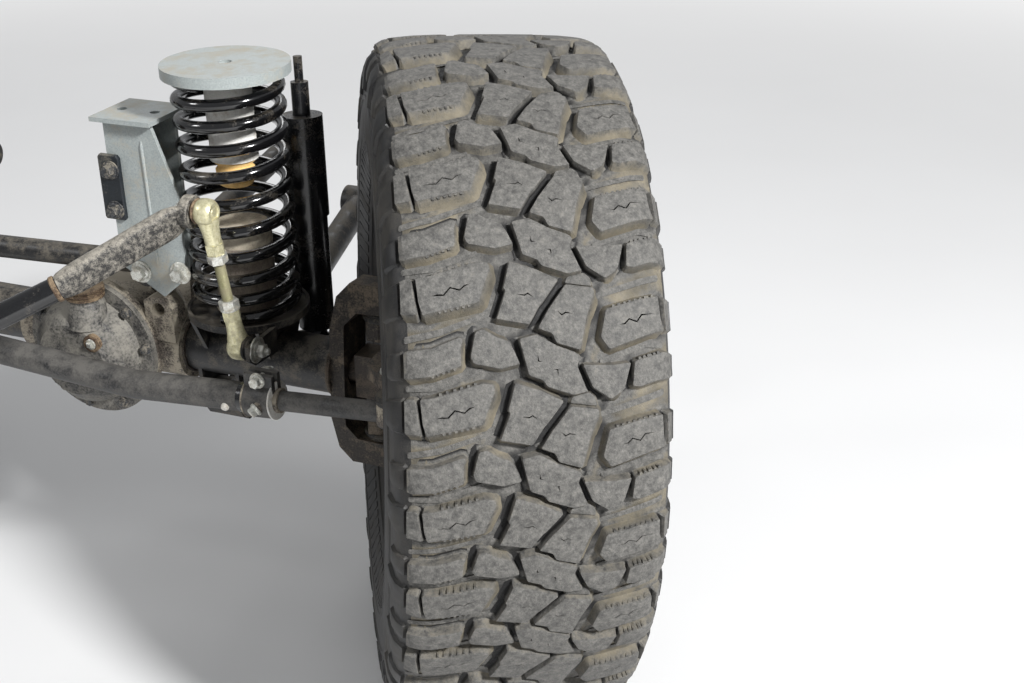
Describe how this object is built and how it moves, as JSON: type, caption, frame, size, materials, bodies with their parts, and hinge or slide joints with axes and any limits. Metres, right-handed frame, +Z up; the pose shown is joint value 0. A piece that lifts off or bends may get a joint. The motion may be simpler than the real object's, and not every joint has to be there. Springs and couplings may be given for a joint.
{
  "type": "front live axle assembly with steered off-road wheels",
  "caption": "Front live axle with coil springs, anti-roll bar, steering rods and two steered wheels on mud-terrain tyres.",
  "frame": {"origin": "midway between the two upper spring seats' stud holes, on the seats' top faces", "axes": "+X towards the vehicle's left, +Y towards its rear, +Z up"},
  "size_m": [2.3414, 1.1022, 0.9025],
  "materials": {
    "tyre": "worn, dusty rubber",
    "wheel_alloy": "satin black",
    "dusty_casting": "dusty cast iron",
    "steel": "dull steel",
    "black_paint": "gloss black",
    "satin_black": "satin black, dusty",
    "grey_paint": "satin grey",
    "foam": "yellow-orange foam",
    "yellow_zinc": "yellow zinc plate",
    "rubber": "black rubber"
  },
  "bodies": {
    "axle": {"axle_tubes": "dusty_casting", "gear_housing": "dusty_casting", "housing_cover": "dusty_casting", "pinion_flange": "steel", "end_yokes": "dusty_casting", "shaft_joints": "steel", "coil_springs": "black_paint", "spring_seats": "grey_paint", "bump_stops": "foam", "dampers": "black_paint", "anti_roll_bar": "black_paint", "bar_mounts": "rubber", "bar_links": "yellow_zinc", "lower_arms": "satin_black", "upper_arms": "satin_black", "track_bar": "satin_black", "track_bar_bracket": "grey_paint"},
    "knuckle_left": {"knuckle_left": "dusty_casting", "dust_shield_left": "steel", "brake_caliper_left": "dusty_casting"},
    "wheel_left": {"hub_left": "steel", "brake_disc_left": "steel", "rim_left": "wheel_alloy", "tyre_left": "tyre"},
    "knuckle_right": {"knuckle_right": "dusty_casting", "dust_shield_right": "steel", "brake_caliper_right": "dusty_casting"},
    "wheel_right": {"hub_right": "steel", "brake_disc_right": "steel", "rim_right": "wheel_alloy", "tyre_right": "tyre"},
    "tie_rod": {"tie_rod": "satin_black"},
    "drag_link": {"drag_link": "satin_black"}
  },
  "joints": [
    {"name": "steer_left", "type": "hinge", "parent": "axle", "child": "knuckle_left", "pos_m": [0.72, 0, -0.405], "axis": [0, 0.0872, 0.9962], "range_deg": [-62.35, 3.65]},
    {"name": "steer_right", "type": "hinge", "parent": "axle", "child": "knuckle_right", "pos_m": [-0.72, 0, -0.405], "axis": [0, 0.0872, 0.9962], "range_deg": [-62.35, 3.65]},
    {"name": "wheel_left_spin", "type": "hinge", "parent": "knuckle_left", "child": "wheel_left", "pos_m": [0.83811, 0.06616, -0.41079], "axis": [0.8716, 0.4883, -0.0427], "continuous": true},
    {"name": "wheel_right_spin", "type": "hinge", "parent": "knuckle_right", "child": "wheel_right", "pos_m": [-0.83811, -0.06616, -0.39921], "axis": [0.8716, 0.4883, -0.0427], "continuous": true},
    {"name": "tie_rod_pivot", "type": "hinge", "parent": "knuckle_left", "child": "tie_rod", "pos_m": [0.80234, -0.1444, -0.3753], "axis": [0, 0.0872, 0.9962], "range_deg": [-3.65, 62.35]},
    {"name": "drag_link_swivel", "type": "hinge", "parent": "tie_rod", "child": "drag_link", "pos_m": [-0.47766, -0.1444, -0.34673], "axis": [0, 0, 1], "range_deg": [-5, 5]}
  ],
  "couplings": [
    {"joint": "steer_right", "follows": "steer_left", "ratio": 1},
    {"joint": "tie_rod_pivot", "follows": "steer_left", "ratio": -1}
  ]
}
